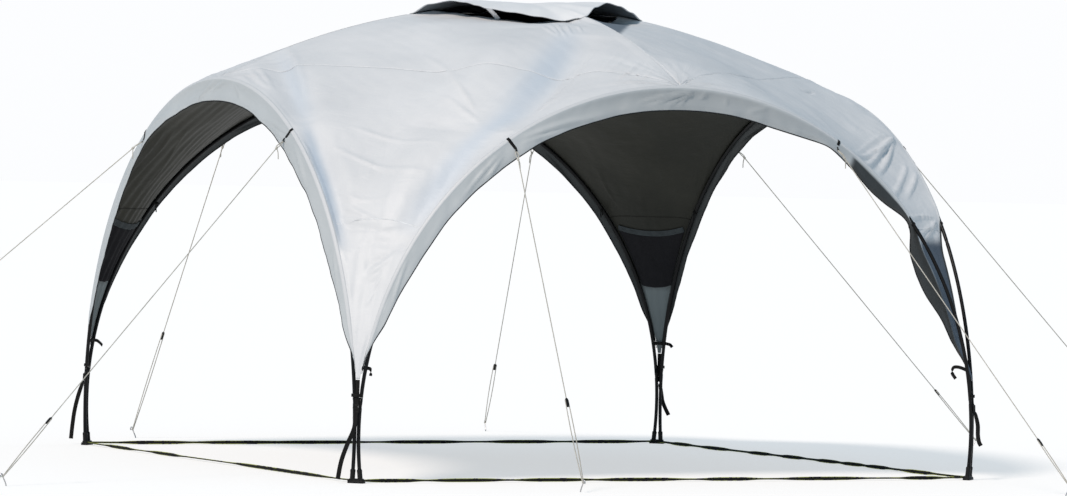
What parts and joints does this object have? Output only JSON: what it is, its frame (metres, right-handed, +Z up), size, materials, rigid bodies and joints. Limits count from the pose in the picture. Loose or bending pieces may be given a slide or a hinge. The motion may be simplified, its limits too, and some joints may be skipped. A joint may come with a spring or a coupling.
{
  "type": "shade pavilion",
  "caption": "Dome shade pavilion: silver cloth over crossed black arched poles, open arches on every side, a raised vent cap, ground straps and guy lines.",
  "frame": {"origin": "on the ground, under the middle of the roof, where the ridge poles cross", "axes": "+Z up; the front arch faces -Y and the right arch faces +X"},
  "size_m": [7.2531, 6.1923, 2.4606],
  "materials": {
    "black_steel": "satin black powder coat",
    "black_fibre": "smooth black glass fibre rod",
    "black_plastic": "matt black",
    "silver_cloth": "silver-grey coated cloth, dark inside",
    "flap_cloth": "the same cloth, in shade",
    "black_mesh": "fine black net",
    "black_webbing": "woven webbing",
    "guy_rope": "pale braided rope"
  },
  "bodies": {
    "root": {"front_arch_bow": "black_steel", "front_arch_left_leg": "black_steel", "front_arch_right_leg": "black_steel", "front_flap": "flap_cloth", "front_ground_strap": "black_webbing", "right_arch_bow": "black_steel", "right_arch_left_leg": "black_steel", "right_arch_right_leg": "black_steel", "right_flap": "flap_cloth", "right_ground_strap": "black_webbing", "back_arch_bow": "black_steel", "back_arch_left_leg": "black_steel", "back_arch_right_leg": "black_steel", "back_flap": "flap_cloth", "back_ground_strap": "black_webbing", "left_arch_bow": "black_steel", "left_arch_left_leg": "black_steel", "left_arch_right_leg": "black_steel", "left_flap": "flap_cloth", "left_ground_strap": "black_webbing", "front_left_foot": "black_plastic", "front_left_tip_strap": "black_webbing", "roof_panel_front_left": "silver_cloth", "corner_panel_front_left": "silver_cloth", "corner_net_front_left": "black_mesh", "front_right_foot": "black_plastic", "front_right_tip_strap": "black_webbing", "roof_panel_front_right": "silver_cloth", "corner_panel_front_right": "silver_cloth", "corner_net_front_right": "black_mesh", "back_right_foot": "black_plastic", "back_right_tip_strap": "black_webbing", "roof_panel_back_right": "silver_cloth", "corner_panel_back_right": "silver_cloth", "corner_net_back_right": "black_mesh", "back_left_foot": "black_plastic", "back_left_tip_strap": "black_webbing", "roof_panel_back_left": "silver_cloth", "corner_panel_back_left": "silver_cloth", "corner_net_back_left": "black_mesh", "ridge_pole_front_to_back": "black_fibre", "ridge_pole_left_to_right": "black_fibre", "vent_cap": "silver_cloth", "vent_net": "black_mesh", "guy_line_front_left": "guy_rope", "guy_line_front_right": "guy_rope", "guy_line_right_front": "guy_rope", "guy_line_right_back": "guy_rope", "guy_line_back_right": "guy_rope", "guy_line_back_left": "guy_rope", "guy_line_left_back": "guy_rope", "guy_line_left_front": "guy_rope"}
  },
  "joints": []
}
